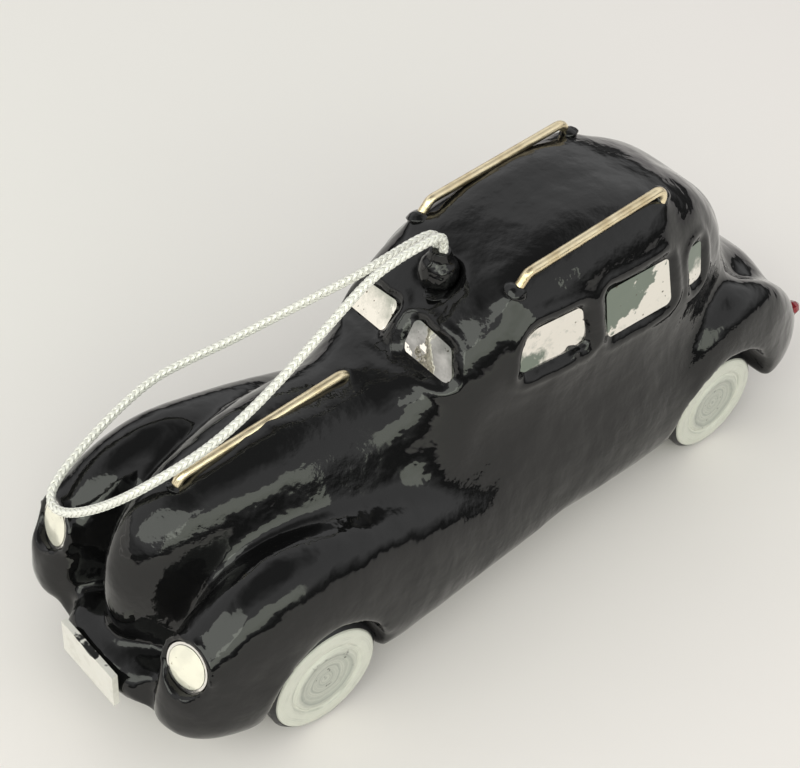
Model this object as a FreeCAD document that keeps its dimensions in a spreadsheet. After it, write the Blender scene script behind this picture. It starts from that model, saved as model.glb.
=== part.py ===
import FreeCAD, Part
import math
import os
import Sketcher

from FreeCAD import Placement, Rotation, Vector

# A small hanging ornament in the shape of a 1940s saloon-bodied hearse, moulded as one closed
# body under thick black lacquer, on two wire axles with pressed-on wheels.
# Millimetres. +X is the front of the car, +Y its left side, +Z up.
# The origin lies on the ground, midway between nose and tail.

document = FreeCAD.newDocument("Hearse")
sheet = document.addObject("Spreadsheet::Sheet", "Sizes")

# Driving dimensions

SIZES = {
    # Stance
    "wheelbase": 95.0,
    "front_overhang": 26.8,
    "rear_overhang": 26.6,
    "ground_clearance": 7.5,
    "tail_clearance": 9.5,
    "underside_cut_depth": 20.0,
    "underside_cut_width": 120.0,
    "underside_cut_length": 300.0,
    "tail_cut_length": 60.0,
    "tail_cut_start": 0.6,
    # Wheels and axles
    "wheel_radius": 10.2,
    "wheel_width": 5.0,
    "front_wheel_face": 23.5,
    "rear_wheel_face": 18.6,
    "tread_round": 0.7,
    "tyre_lip": 0.63,
    "face_thickness": 1.2,
    "hub_radius": 5.0,
    "hub_rise": 0.45,
    "hub_dish_radius": 3.6,
    "hub_dish_slope": 0.5,
    "hub_foot": 0.4,
    "groove_inner": 0.9,
    "groove_outer": 1.6,
    "face_proud": 0.1,
    "wall_proud": 0.3,
    "wall_round": 0.4,
    "axle_radius": 0.8,
    "axle_clearance": 0.06,
    "front_arch_gap": 1.4,
    "rear_arch_gap": 2.4,
    "well_gap": 1.2,
    "well_reach": 12.0,
    # Lower body
    "sill_half_width": 21.6,
    "sill_height": 11.5,
    "waist_height": 36.0,
    "lower_nose_gap": 12.0,
    "lower_tail_gap": 0.5,
    "shell_nose_gap": 3.75,
    "shell_tail_gap": 0.6,
    "form_underhang": 1.5,
    # Bonnet
    "bonnet_top": 44.6,
    "bonnet_middle": 21.0,
    "bonnet_half_width": 14.3,
    "bonnet_nose_gap": 3.7,
    "bonnet_crest_x": 20.0,
    "bonnet_end_x": -20.0,
    # Cabin
    "roof_top": 62.1,
    "roof_crest_x": -21.0,
    "cabin_tail_gap": 14.0,
    "cabin_tail_drop": 10.0,
    "cabin_middle": 30.0,
    "cabin_underhang": -9.0,
    "cabin_half_width": 17.6,
    "cabin_taper_x": 27.0,
    "cowl_height": 44.6,
    "screen_foot_x": 19.4,
    "screen_rake": 30.0,
    "screen_sweep": 10.0,
    "screen_cut_length": 40.0,
    "screen_cut_side": 60.0,
    "screen_cut_overlap": 2.0,
    # Front wings
    "front_wing_crest": 35.4,
    "front_wing_y": 17.0,
    "front_wing_half_width": 8.6,
    "front_wing_end_x": -14.0,
    "front_wing_end_y": 18.9,
    "front_wing_middle": 13.0,
    "front_wing_end_drop": 3.0,
    "front_wing_nose_gap": 1.0,
    "front_wing_crest_shift": 2.5,
    # Rear wings
    "rear_wing_crest": 33.6,
    "rear_wing_y": 15.3,
    "rear_wing_half_width": 6.9,
    "rear_wing_start_x": -31.5,
    "rear_wing_start_spread": 3.0,
    "rear_wing_end_y": 13.0,
    "rear_wing_middle": 12.0,
    "rear_wing_crest_shift": 2.5,
    # Bumper
    "bumper_height": 11.0,
    "bumper_half_length": 25.0,
    "bumper_depth": 5.0,
    "bumper_half_height": 3.8,
    "bumper_bow": 7.5,
    "bumper_proud": 0.1,
    "overrider_y": 11.0,
    "overrider_height": 14.5,
    "overrider_half_length": 5.6,
    "overrider_radius": 2.1,
    "overrider_set_back": 2.2,
    # Headlamps
    "lamp_x": 68.4,
    "lamp_y": 17.3,
    "lamp_z": 23.5,
    "lamp_radius": 3.5,
    "lamp_thickness": 1.0,
    "lamp_rim_width": 0.45,
    "lamp_rim_rise": 0.35,
    "lamp_shell_wall": 1.3,
    "lamp_shell_rise": 0.9,
    "lamp_shell_root": 6.0,
    "seat_depth": 8.0,
    "lamp_tilt": 16.6,
    "lamp_turn": 9.7,
    # Front plate
    "plate_width": 13.7,
    "plate_height": 6.8,
    "plate_thickness": 1.0,
    "plate_middle": 11.6,
    "plate_sink": 0.3,
    "plate_seat_depth": 10.0,
    "plate_seat_side": 1.0,
    "plate_seat_tall": 8.0,
    # Windows
    "pane_thickness": 0.6,
    "pane_clearance": 0.04,
    "pane_corner": 1.1,
    "side_pane_lean": 5.0,
    "door_pane_x": -3.1,
    "door_pane_y": 15.0,
    "door_pane_z": 47.2,
    "door_pane_foot": 14.6,
    "door_pane_head": 11.8,
    "door_pane_tall": 7.8,
    "door_pane_shift": 0.4,
    "door_pane_turn": 3.0,
    "door_pane_brow": 3.6,
    "load_pane_x": -22.2,
    "load_pane_y": 16.0,
    "load_pane_z": 47.2,
    "load_pane_foot": 15.2,
    "load_pane_head": 14.4,
    "load_pane_tall": 10.0,
    "load_pane_shift": 1.9,
    "load_pane_turn": 0.0,
    "quarter_pane_x": -37.5,
    "quarter_pane_y": 14.2,
    "quarter_pane_z": 45.6,
    "quarter_pane_foot": 4.2,
    "quarter_pane_head": 4.2,
    "quarter_pane_tall": 8.4,
    "quarter_pane_shift": 1.6,
    "quarter_pane_turn": -9.0,
    "screen_pane_x": 14.1,
    "screen_pane_y": 7.2,
    "screen_pane_z": 48.6,
    "screen_pane_foot": 10.6,
    "screen_pane_head": 7.6,
    "screen_pane_tall": 5.6,
    "screen_pane_shift": 1.3,
    "screen_pane_drop": 1.6,
    "rear_pane_x": -49.2,
    "rear_pane_z": 46.0,
    "rear_pane_foot": 15.0,
    "rear_pane_head": 12.0,
    "rear_pane_tall": 6.5,
    "rear_pane_rake": 36.0,
    "pane_recess": 8.0,
    # Roof rails and bonnet rod
    "rod_radius": 0.8,
    "rod_bend": 1.8,
    "rod_fit": 0.03,
    "rail_y": 11.2,
    "rail_front_x": 3.0,
    "rail_rear_x": -29.5,
    "rail_lift": 2.7,
    "rail_front_splay": 1.0,
    "rail_front_slope": 2.5,
    "rail_rear_splay": 0.6,
    "rail_root": 1.5,
    "rail_foot_shift": 0.6,
    "bead_sink": 0.2,
    "rail_foot_radius": 2.0,
    "rail_foot_height": 1.6,
    "bonnet_rod_front_x": 57.5,
    "bonnet_rod_rear_x": 26.0,
    "bonnet_rod_sink": 0.3,
    "bonnet_rod_splay": 0.6,
    "bonnet_rod_root": 3.0,
    "bonnet_bead_radius": 1.6,
    # Hanging knob
    "knob_x": 8.4,
    "knob_base": 54.3,
    "knob_radius": 3.35,
    "knob_base_radius": 2.5,
    "knob_neck_radius": 1.75,
    "knob_height": 6.3,
    "knob_fit": 0.1,
    "knob_seat_depth": 12.0,
    # Tail lamps
    "tail_lamp_y": 14.0,
    "tail_lamp_z": 16.5,
    "tail_lamp_radius": 1.5,
    "tail_lamp_length": 3.0,
    "tail_lamp_sink": 0.9,
    # Cord
    "cord_radius": 0.75,
}

for row, (alias, value) in enumerate(SIZES.items(), start=1):
    sheet.set(f"A{row}", alias)
    sheet.set(f"B{row}", str(value))
    sheet.setAlias(f"B{row}", alias)
document.recompute()


def size(alias):
    return float(sheet.get(alias))


def bind(thing, **expressions):
    """Bind properties to expressions of the sheet's aliases, written with a leading dollar sign."""
    for name, expression in expressions.items():
        path = name.replace("__", ".")
        thing.setExpression(path, expression.replace("$", "Sizes."))


def place(thing, x="0", y="0", z="0"):
    bind(thing, Placement__Base__x=x, Placement__Base__y=y, Placement__Base__z=z)


FRONT_AXLE = "$wheelbase / 2"
REAR_AXLE = "-$wheelbase / 2"
front_axle_x = size("wheelbase") / 2
rear_axle_x = -size("wheelbase") / 2
nose_x = front_axle_x + size("front_overhang")
tail_x = rear_axle_x - size("rear_overhang")
SIDES = {"left": 1, "right": -1}


# Moulded forms: each is an egg along X, lofted through superellipse rings

RINGS_PER_END = 6
RING_POINTS = 14
END_ANGLE = math.radians(4)
LEAST_WIDTH = 0.06


def superellipse(angle, power):
    """A point of the unit superellipse, as its two coordinates."""
    across, up = math.cos(angle), math.sin(angle)
    return (
        math.copysign(abs(across) ** (2 / power), across),
        math.copysign(abs(up) ** (2 / power), up),
    )


def ring(x, y, z, half_width, above, below, power):
    """A closed outline across the car, rounder above and below its middle as the power falls."""
    points = []
    for step in range(RING_POINTS):
        across, up = superellipse(2 * math.pi * step / RING_POINTS - math.pi / 2, power)
        points.append(Vector(x, y + half_width * across, z + (above if up > 0 else below) * up))
    outline = Part.BSplineCurve()
    outline.interpolate(points, PeriodicFlag=True)
    return Part.Wire([outline.toShape()])


def egg(front, crest, rear, half_width, above, below, middle,
        fore=2.0, aft=2.0, fore_width=2.0, aft_width=2.0, section=2.4):
    """A solid along X from front to rear, widest and tallest at its crest. The middle gives the
    centres of its rings: (crest y, crest z, front y, front z, rear y, rear z). A low power draws
    an end out to a point, in side view by fore and aft and in plan by fore_width and aft_width;
    section is the power of the rings."""
    crest_y, crest_z, front_y, front_z, rear_y, rear_z = middle
    rings = []
    ends = [(front, fore, fore_width, front_y, front_z), (rear, aft, aft_width, rear_y, rear_z)]
    for end_x, power, width_power, end_y, end_z in ends:
        half = []
        for step in range(RINGS_PER_END):
            angle = END_ANGLE + (math.pi / 2 - END_ANGLE) * step / (RINGS_PER_END - 1)
            along, tall = superellipse(angle, power)
            along = max(along, 0.0)
            wide = max(1 - along ** width_power, 0.0) ** (1 / width_power)
            drift = along * along
            half.append(ring(
                crest + (end_x - crest) * along,
                crest_y + (end_y - crest_y) * drift,
                crest_z + (end_z - crest_z) * drift,
                half_width * max(wide, LEAST_WIDTH),
                above * tall,
                below * tall,
                section,
            ))
        rings += half if end_x == front else half[-2::-1]
    return Part.makeLoft(rings, True, False)


def feature(name, shape, placement=None):
    made = document.addObject("Part::Feature", name)
    made.Shape = shape
    if placement is not None:
        made.Placement = placement
    return made


def joined(name, pieces):
    fuse = document.addObject("Part::MultiFuse", name)
    fuse.Shapes = pieces
    fuse.Refine = False
    return fuse


# Powers of the shell's three forms: height and width towards the front, the same towards the
# rear, and the section's squareness

LOWER_POWERS, LOWER_SECTION = ((4, 4), (3.2, 4)), 2.6
BONNET_POWERS, BONNET_SECTION = ((3, 2.1), (3, 3)), 2.4
CABIN_POWERS, CABIN_SECTION = ((2, 3), (2.2, 2.1)), 4.6
ROUND_END = 2.0

# How the forms are blended: a higher blend leaves a tighter crease between them

BLEND = 11
LEAST_GAUGE = 0.05
FARTHEST_REACH = 90.0
HALVINGS = 40
SHELL_STATIONS = 19
SHELL_RAYS = 24

# Powers of the wings

FRONT_WING_POWERS = {"fore": 2.0, "aft": 1.35, "fore_width": 2.4, "aft_width": 1.5, "section": 2.4}
REAR_WING_POWERS = {"fore": 2.0, "aft": 1.7, "fore_width": 2.0, "aft_width": 2.2, "section": 2.4}


def profile_at(x, form):
    """Half width, height, middle and power of an egg's section at x, or nothing beyond its ends."""
    front, crest, rear, half_width, above, below, middle, drop, powers, section = form
    end, tall_power, wide_power = (front, *powers[0]) if x > crest else (rear, *powers[1])
    along = (x - crest) / (end - crest)
    if along >= 1:
        return None
    tall = (1 - along ** tall_power) ** (1 / tall_power)
    wide = (1 - along ** wide_power) ** (1 / wide_power)
    to_rear = along * along if x < crest else 0
    rounder = section - (section - ROUND_END) * to_rear
    return half_width * wide, above * tall, below * tall, middle - drop * to_rear, rounder


def blended_radius(sections, centre_z, angle):
    """How far the softly joined sections reach from the centre in one direction."""
    across, up = math.cos(angle), math.sin(angle)
    near, far = 0.0, FARTHEST_REACH
    for _ in range(HALVINGS):
        reach = (near + far) / 2
        y, z = reach * across, centre_z + reach * up
        total = 0.0
        for wide, above, below, middle, power in sections:
            tall = above if z > middle else below
            gauge = (abs(y / wide) ** power + abs((z - middle) / tall) ** power) ** (1 / power)
            total += max(gauge, LEAST_GAUGE) ** -BLEND
        if total > 1:
            near = reach
        else:
            far = reach
    return near


def shell():
    """Lower body, bonnet and cabin, blended softly and lofted in one piece from tail to nose."""
    clearance = size("ground_clearance")
    sill = size("sill_height")
    bonnet_middle = size("bonnet_middle")
    cabin_middle = size("cabin_middle")
    underhang = size("form_underhang")
    lower = (nose_x - size("lower_nose_gap"), 0, tail_x + size("lower_tail_gap"),
             size("sill_half_width"), size("waist_height") - sill, sill - clearance + underhang,
             sill, 0, LOWER_POWERS, LOWER_SECTION)
    bonnet = (nose_x - size("bonnet_nose_gap"), size("bonnet_crest_x"), size("bonnet_end_x"),
              size("bonnet_half_width"), size("bonnet_top") - bonnet_middle,
              bonnet_middle - clearance + underhang, bonnet_middle, 0,
              BONNET_POWERS, BONNET_SECTION)
    cabin = (size("cabin_taper_x"), size("roof_crest_x"), tail_x + size("cabin_tail_gap"),
             size("cabin_half_width"), size("roof_top") - cabin_middle,
             cabin_middle - clearance + size("cabin_underhang"), cabin_middle,
             size("cabin_tail_drop"), CABIN_POWERS, CABIN_SECTION)
    outlines = []
    front, rear = nose_x - size("shell_nose_gap"), tail_x + size("shell_tail_gap")
    for step in range(SHELL_STATIONS):
        share = 0.5 - 0.5 * math.cos(math.pi * step / (SHELL_STATIONS - 1))
        x = rear + (front - rear) * share
        sections = [s for s in (profile_at(x, f) for f in (lower, bonnet, cabin)) if s]
        centre_z = sum(s[3] for s in sections) / len(sections)
        points = []
        for ray in range(SHELL_RAYS):
            angle = -math.pi / 2 + 2 * math.pi * ray / SHELL_RAYS
            reach = blended_radius(sections, centre_z, angle)
            points.append(Vector(x, reach * math.cos(angle), centre_z + reach * math.sin(angle)))
        outline = Part.BSplineCurve()
        outline.interpolate(points, PeriodicFlag=True)
        outlines.append(Part.Wire([outline.toShape()]))
    return Part.makeLoft(outlines, True, False)


def front_wing(side):
    """A full wing that starts at the nose and fades into the door."""
    middle = size("front_wing_middle")
    above = size("front_wing_crest") - middle
    below = middle - size("ground_clearance") + size("form_underhang")
    crest_y = side * size("front_wing_y")
    centre = (crest_y, middle, crest_y, middle, side * size("front_wing_end_y"),
              middle - size("front_wing_end_drop"))
    return egg(nose_x - size("front_wing_nose_gap"),
               front_axle_x + size("front_wing_crest_shift"), size("front_wing_end_x"),
               size("front_wing_half_width"), above, below, centre, **FRONT_WING_POWERS)


def rear_wing(side):
    """A rounder wing over the rear wheel, drawn in towards the tail."""
    middle = size("rear_wing_middle")
    above = size("rear_wing_crest") - middle
    below = middle - size("ground_clearance") + size("form_underhang")
    crest_y = side * size("rear_wing_y")
    start_y = side * (size("rear_wing_y") + size("rear_wing_start_spread"))
    centre = (crest_y, middle, start_y, middle, side * size("rear_wing_end_y"), middle)
    return egg(size("rear_wing_start_x"), rear_axle_x - size("rear_wing_crest_shift"), tail_x,
               size("rear_wing_half_width"), above, below, centre, **REAR_WING_POWERS)


BUMPER_STEPS = 6
BUMPER_POINTS = 12
BUMPER_THINNING = 0.97
BUMPER_SECTION = 2.2


def bumper():
    """A rounded ridge across the front, bowed back and thinner towards its ends."""
    rings = []
    for step in range(-BUMPER_STEPS, BUMPER_STEPS + 1):
        share = step / BUMPER_STEPS
        thickness = math.sqrt(max(1 - BUMPER_THINNING * share * share, 0))
        outline = Part.BSplineCurve()
        points = []
        for corner in range(BUMPER_POINTS):
            along, up = superellipse(2 * math.pi * corner / BUMPER_POINTS, BUMPER_SECTION)
            points.append(Vector(
                nose_x + size("bumper_proud") - size("bumper_depth")
                - size("bumper_bow") * share * share
                + size("bumper_depth") * thickness * along,
                size("bumper_half_length") * share,
                size("bumper_height") + size("bumper_half_height") * thickness * up,
            ))
        outline.interpolate(points, PeriodicFlag=True)
        rings.append(Part.Wire([outline.toShape()]))
    return Part.makeLoft(rings, True, False)


def ellipsoid(name, along, across, tall):
    made = document.addObject("Part::Ellipsoid", name)
    bind(made, Radius2=along, Radius3=across, Radius1=tall)
    return made


def overrider(side):
    """An upright rounded lump on the bumper, beside the plate."""
    made = ellipsoid(f"overrider_{side_name(side)}", "$overrider_radius", "$overrider_radius",
                     "$overrider_half_length")
    sign = "" if side > 0 else "-"
    place(made, "$wheelbase / 2 + $front_overhang - $overrider_set_back", f"{sign}$overrider_y",
          "$overrider_height")
    return made


def side_name(side):
    return "left" if side > 0 else "right"


def cylinder(name, radius, height):
    made = document.addObject("Part::Cylinder", name)
    bind(made, Radius=radius, Height=height)
    return made


def box(name, length, width, height):
    made = document.addObject("Part::Box", name)
    bind(made, Length=length, Width=width, Height=height)
    return made


def cut(name, base, tool):
    made = document.addObject("Part::Cut", name)
    made.Base = base
    made.Tool = tool
    made.Refine = False
    return made


FREE_SETBACK = 0.45


def rounded_path(points, bend=None):
    """Straight runs joined by tangent arcs; without a bend radius each arc takes what its runs allow."""
    points = [Vector(*p) for p in points]
    edges, radii = [], []
    start = points[0]
    for before, corner, after in zip(points, points[1:], points[2:]):
        arrive = (corner - before).normalize()
        leave = (after - corner).normalize()
        turn = arrive.getAngle(leave)
        shorter = min(corner.distanceToPoint(before), corner.distanceToPoint(after))
        setback = FREE_SETBACK * shorter if bend is None else bend * math.tan(turn / 2)
        radius = setback / math.tan(turn / 2)
        radii.append(round(radius, 1))
        enter, exit_point = corner - arrive * setback, corner + leave * setback
        inward = (leave - arrive).normalize()
        centre = corner + inward * (radius / math.cos(turn / 2))
        edges.append(Part.LineSegment(start, enter).toShape())
        edges.append(Part.Arc(enter, centre - inward * radius, exit_point).toShape())
        start = exit_point
    edges.append(Part.LineSegment(start, points[-1]).toShape())
    return Part.Wire(edges), radii


def tube(path, radius):
    """A round rod or cord along a path."""
    first = path.Edges[0]
    direction = first.tangentAt(first.FirstParameter)
    section = Part.Wire([Part.Circle(path.OrderedVertexes[0].Point, direction, radius).toShape()])
    return path.makePipeShell([section], True, False)


PLUMB_FOOT, PLUMB_HEAD = -20, 120


def surface_above(shape, x, y):
    """Height of the top of a shape over a point of the ground."""
    plumb = Part.makeLine(Vector(x, y, PLUMB_FOOT), Vector(x, y, PLUMB_HEAD))
    return plumb.common(shape).BoundBox.ZMax


# The solid moulding, before its recesses

moulding_pieces = [feature("shell_form", shell()), feature("bumper_form", bumper())]
for name, side in SIDES.items():
    moulding_pieces.append(feature(f"front_wing_form_{name}", front_wing(side)))
    moulding_pieces.append(feature(f"rear_wing_form_{name}", rear_wing(side)))
    moulding_pieces.append(overrider(side))
skin = joined("skin", moulding_pieces)
document.recompute()


# Headlamps

def lamp_placement(side, along=0.0):
    """On the lamp's own axis, turned outward and tilted up, with local Z facing out."""
    tilt = math.radians(size("lamp_tilt"))
    turn = math.radians(side * size("lamp_turn"))
    out = Vector(math.cos(tilt) * math.cos(turn), math.cos(tilt) * math.sin(turn), math.sin(tilt))
    face = Vector(size("lamp_x"), side * size("lamp_y"), size("lamp_z"))
    return Placement(face + out * along, Rotation(Vector(0, 0, 1), out))


def headlamp(side):
    """A flat mirror disc in a thin bright rim, both on the floor of the same moulded seat."""
    name = side_name(side)
    floor = -size("lamp_thickness")
    disc = cylinder(f"headlamp_{name}", "$lamp_radius", "$lamp_thickness")
    disc.Placement = lamp_placement(side, floor)
    rim_outer = cylinder(f"rim_outer_{name}", "$lamp_radius + $lamp_rim_width",
                         "$lamp_thickness + $lamp_rim_rise")
    rim_bore = cylinder(f"rim_bore_{name}", "$lamp_radius", "$lamp_thickness + 2 * $lamp_rim_rise")
    rim = cut(f"headlamp_rim_{name}", rim_outer, rim_bore)
    rim_outer.Placement = rim_bore.Placement = lamp_placement(side, floor)
    shell_height = "$lamp_shell_rise + $lamp_shell_root"
    collar = cylinder(f"lamp_shell_{name}", "$lamp_radius + $lamp_rim_width + $lamp_shell_wall",
                      shell_height)
    collar.Placement = lamp_placement(side, -size("lamp_shell_root"))
    seat = cylinder(f"lamp_seat_{name}", "$lamp_radius + $lamp_rim_width + $pane_clearance",
                    "$seat_depth")
    seat.Placement = lamp_placement(side, floor)
    return disc, rim, collar, seat


# Wheels: a black tyre with a white face pressed into it, on a wire axle

def sketched(body, corners):
    """A closed outline of straight lines, each corner held by two bound distances."""
    sketch = body.newObject("Sketcher::SketchObject", body.Name + "_outline")
    plane = [f for f in body.Origin.OriginFeatures if f.Role == "XY_Plane"][0]
    sketch.AttachmentSupport = [(plane, "")]
    sketch.MapMode = "FlatFace"
    count = len(corners)
    for index in range(count):
        here, there = 2 * math.pi * index / count, 2 * math.pi * (index + 1) / count
        sketch.addGeometry(Part.LineSegment(
            Vector(math.cos(here), math.sin(here), 0), Vector(math.cos(there), math.sin(there), 0)
        ))
    for index in range(count):
        sketch.addConstraint(Sketcher.Constraint("Coincident", index, 2, (index + 1) % count, 1))
    for index, (across, up) in enumerate(corners):
        for kind, expression in (("DistanceX", across), ("DistanceY", up)):
            held = sketch.addConstraint(Sketcher.Constraint(kind, -1, 1, index, 1, 1.0))
            sketch.setExpression(f"Constraints[{held}]", expression.replace("$", "Sizes."))
    return sketch


def turned(name, corners):
    """A body of revolution about its own X axis, from half of its section."""
    body = document.addObject("PartDesign::Body", name)
    sketch = sketched(body, corners)
    spin = body.newObject("PartDesign::Revolution", name + "_turned")
    spin.Profile = sketch
    spin.ReferenceAxis = (sketch, ["H_Axis"])
    spin.Angle = 360
    body.Tip = spin
    return body


def wheel(end, side):
    name = f"{end}_{side_name(side)}"
    tyre = turned(f"tyre_{name}", [
        ("-$wheel_width", "$axle_radius"),
        ("-$wheel_width", "$wheel_radius - $tread_round"),
        ("-$wheel_width + $tread_round", "$wheel_radius"),
        ("-$tread_round", "$wheel_radius"),
        ("0", "$wheel_radius - $tread_round * 0.8"),
        ("0", "$wheel_radius - $tyre_lip"),
        ("-$face_thickness", "$wheel_radius - $tyre_lip"),
        ("-$face_thickness", "$axle_radius"),
    ])
    face = turned(f"wheel_face_{name}", [
        ("-$face_thickness", "0"),
        ("-$face_thickness", "$wheel_radius - $tyre_lip"),
        ("$face_proud", "$wheel_radius - $tyre_lip"),
        ("$wall_proud", "$wheel_radius - $tyre_lip - $wall_round"),
        ("$wall_proud", "$hub_radius + $groove_outer"),
        ("$face_proud", "$hub_radius + $groove_inner"),
        ("$face_proud", "$hub_radius + $hub_foot"),
        ("$face_proud + $hub_rise", "$hub_radius"),
        ("$face_proud + $hub_rise", "$hub_dish_radius"),
        ("$face_proud", "$hub_dish_radius - $hub_dish_slope"),
        ("$face_proud", "0"),
    ])
    for piece in (tyre, face):
        piece.Placement = Placement(Vector(), Rotation(Vector(0, 0, 1), 90 * side))
        sign = "" if side > 0 else "-"
        place(piece, FRONT_AXLE if end == "front" else REAR_AXLE,
              f"{sign}${end}_wheel_face", "$wheel_radius")
    return tyre, face


def axle(end):
    made = cylinder(f"axle_{end}", "$axle_radius", f"2 * (${end}_wheel_face - $face_thickness)")
    made.Placement = Placement(Vector(), Rotation(Vector(1, 0, 0), -90))
    place(made, FRONT_AXLE if end == "front" else REAR_AXLE,
          f"-(${end}_wheel_face - $face_thickness)", "$wheel_radius")
    return made


def axle_bore(end):
    made = cylinder(f"axle_bore_{end}", "$axle_radius + $axle_clearance", f"2 * ${end}_wheel_face")
    made.Placement = Placement(Vector(), Rotation(Vector(1, 0, 0), -90))
    place(made, FRONT_AXLE if end == "front" else REAR_AXLE, f"-${end}_wheel_face", "$wheel_radius")
    return made


def wheel_well(end, side):
    """The open arch round a wheel, reaching out past the side of the car."""
    made = cylinder(f"well_{end}_{side_name(side)}", f"$wheel_radius + ${end}_arch_gap",
                    "$wheel_width + $well_gap + $well_reach")
    inner = f"(${end}_wheel_face - $wheel_width - $well_gap)"
    sign = "" if side > 0 else "-"
    made.Placement = Placement(Vector(), Rotation(Vector(1, 0, 0), -90 * side))
    place(made, FRONT_AXLE if end == "front" else REAR_AXLE, sign + inner, "$wheel_radius")
    return made


# Windows: mirror panes lying on the floor of their recesses

def pane_corners(window, grow, forward):
    """Foot front, foot rear, head rear, head front; the head is shifted forward of the foot."""
    foot, head = f"${window}_pane_foot / 2 + {grow}", f"${window}_pane_head / 2 + {grow}"
    low, high = f"-(${window}_pane_tall / 2 + {grow})", f"${window}_pane_tall / 2 + {grow}"
    shift = f"${window}_pane_shift" if window != "rear" else "0"
    drop = f"${window}_pane_drop" if window == "screen" else "0"
    ahead, behind = ("", "-") if forward > 0 else ("-", "")
    return [
        (f"{ahead}({foot})", f"{low}"),
        (f"{behind}({foot})", f"{low} - {drop}"),
        (f"{behind}({head} - {shift})", f"{high} - {drop}"),
        (f"{ahead}({head} + {shift})", f"{high}"),
    ]


def upright_edges(shape, forward, brow):
    """Names of a pad's upright edges: the one at the high front corner, or all the others."""
    names = []
    for number, edge in enumerate(shape.Edges, start=1):
        point = edge.Vertexes[0].Point
        at_brow = point.x * forward > 0 and point.y > 0
        if abs(edge.tangentAt(edge.FirstParameter).z) > 0.99 and at_brow == brow:
            names.append(f"Edge{number}")
    return names


def padded(name, corners, thickness, corner_radius, brow_radius, forward):
    """A flat outline raised along Z, with its upright edges rounded."""
    body = document.addObject("PartDesign::Body", name)
    sketch = sketched(body, corners)
    pad = body.newObject("PartDesign::Pad", name + "_pad")
    pad.Profile = sketch
    bind(pad, Length=thickness)
    body.Tip = pad
    document.recompute()
    rounded = body.newObject("PartDesign::Fillet", name + "_corners")
    rounded.Base = (pad, upright_edges(pad.Shape, forward, False))
    bind(rounded, Radius=corner_radius)
    document.recompute()
    brow = body.newObject("PartDesign::Fillet", name + "_brow")
    brow.Base = (rounded, upright_edges(rounded.Shape, forward, True))
    bind(brow, Radius=brow_radius)
    body.Tip = brow
    return body


def window(kind, side, name):
    """The pane and the cutter of its recess, on the same outline and placement."""
    if kind == "screen":
        rake, sweep = math.radians(size("screen_rake")), math.radians(size("screen_sweep") * side)
        out = Vector(math.cos(rake) * math.cos(sweep), math.cos(rake) * math.sin(sweep),
                     math.sin(rake))
        forward = -side
    elif kind == "rear":
        rake = math.radians(size("rear_pane_rake"))
        out = Vector(-math.cos(rake), 0, math.sin(rake))
        forward = 1
    else:
        lean, turn = math.radians(size("side_pane_lean")), math.radians(size(f"{kind}_pane_turn"))
        out = Vector(math.cos(lean) * math.sin(turn), side * math.cos(lean) * math.cos(turn),
                     math.sin(lean))
        forward = -side
    across = Vector(0, 0, 1).cross(out)
    rotation = Rotation(across, out.cross(across), out, "ZXY")
    corners = pane_corners(kind, "0", forward)
    brow = "$door_pane_brow" if kind == "door" else "$pane_corner"
    pane = padded(name, corners, "$pane_thickness", "$pane_corner", brow, forward)
    corners = pane_corners(kind, "$pane_clearance", forward)
    recess = padded(name + "_recess", corners, "$pane_recess", "$pane_corner", brow, forward)
    sign = "" if side > 0 else "-"
    for piece in (pane, recess):
        piece.Placement = Placement(Vector(), rotation)
        place(piece, f"${kind}_pane_x", "0" if kind == "rear" else f"{sign}${kind}_pane_y",
              f"${kind}_pane_z")
    return pane, recess


# Bright rods: two roof rails and one along the bonnet, their ends turned down into the moulding

def rod(name, points):
    path, _ = rounded_path(points, size("rod_bend"))
    made = feature(name, tube(path, size("rod_radius")))
    groove = feature(name + "_groove", tube(path, size("rod_radius") + size("rod_fit")))
    return made, groove


def rail_points(side):
    """A rail over the roof's edge, its front leg raked forward and both feet in the roof."""
    y = side * size("rail_y")
    front, rear = size("rail_front_x"), size("rail_rear_x")
    front_roof = surface_above(skin.Shape, front, y)
    rear_roof = surface_above(skin.Shape, rear, y)
    lift, root = size("rail_lift"), size("rail_root")
    return [
        (front + size("rail_front_splay"), y, front_roof - root),
        (front - size("rail_front_slope"), y, front_roof + lift),
        (rear, y, rear_roof + lift),
        (rear + size("rail_rear_splay"), y, rear_roof - root),
    ]


def bonnet_rod_points():
    """A rod along the middle of the bonnet, its ends turned down into it."""
    splay, root = size("bonnet_rod_splay"), size("bonnet_rod_root")
    front, rear = size("bonnet_rod_front_x"), size("bonnet_rod_rear_x")
    lift = size("rod_radius") - size("bonnet_rod_sink")
    front_z, rear_z = surface_above(skin.Shape, front, 0), surface_above(skin.Shape, rear, 0)
    return [
        (front + splay, 0, front_z - root),
        (front, 0, front_z + lift),
        (rear, 0, rear_z + lift),
        (rear - splay, 0, rear_z - root),
    ]


def bead(name, x, y, radius, height):
    """A low dome of lacquer round the end of a rod."""
    made = ellipsoid(name, radius, radius, height)
    level = surface_above(skin.Shape, x, y) - size("bead_sink")
    made.Placement = Placement(Vector(x, y, level), Rotation())
    return made


# Hanging knob and its cord

BULGE_RISE, SHOULDER_RISE, NECK_RISE = 0.36, 0.62, 0.82
SHOULDER_SHARE, NECK_SHARE = 0.82, 1.12


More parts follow.
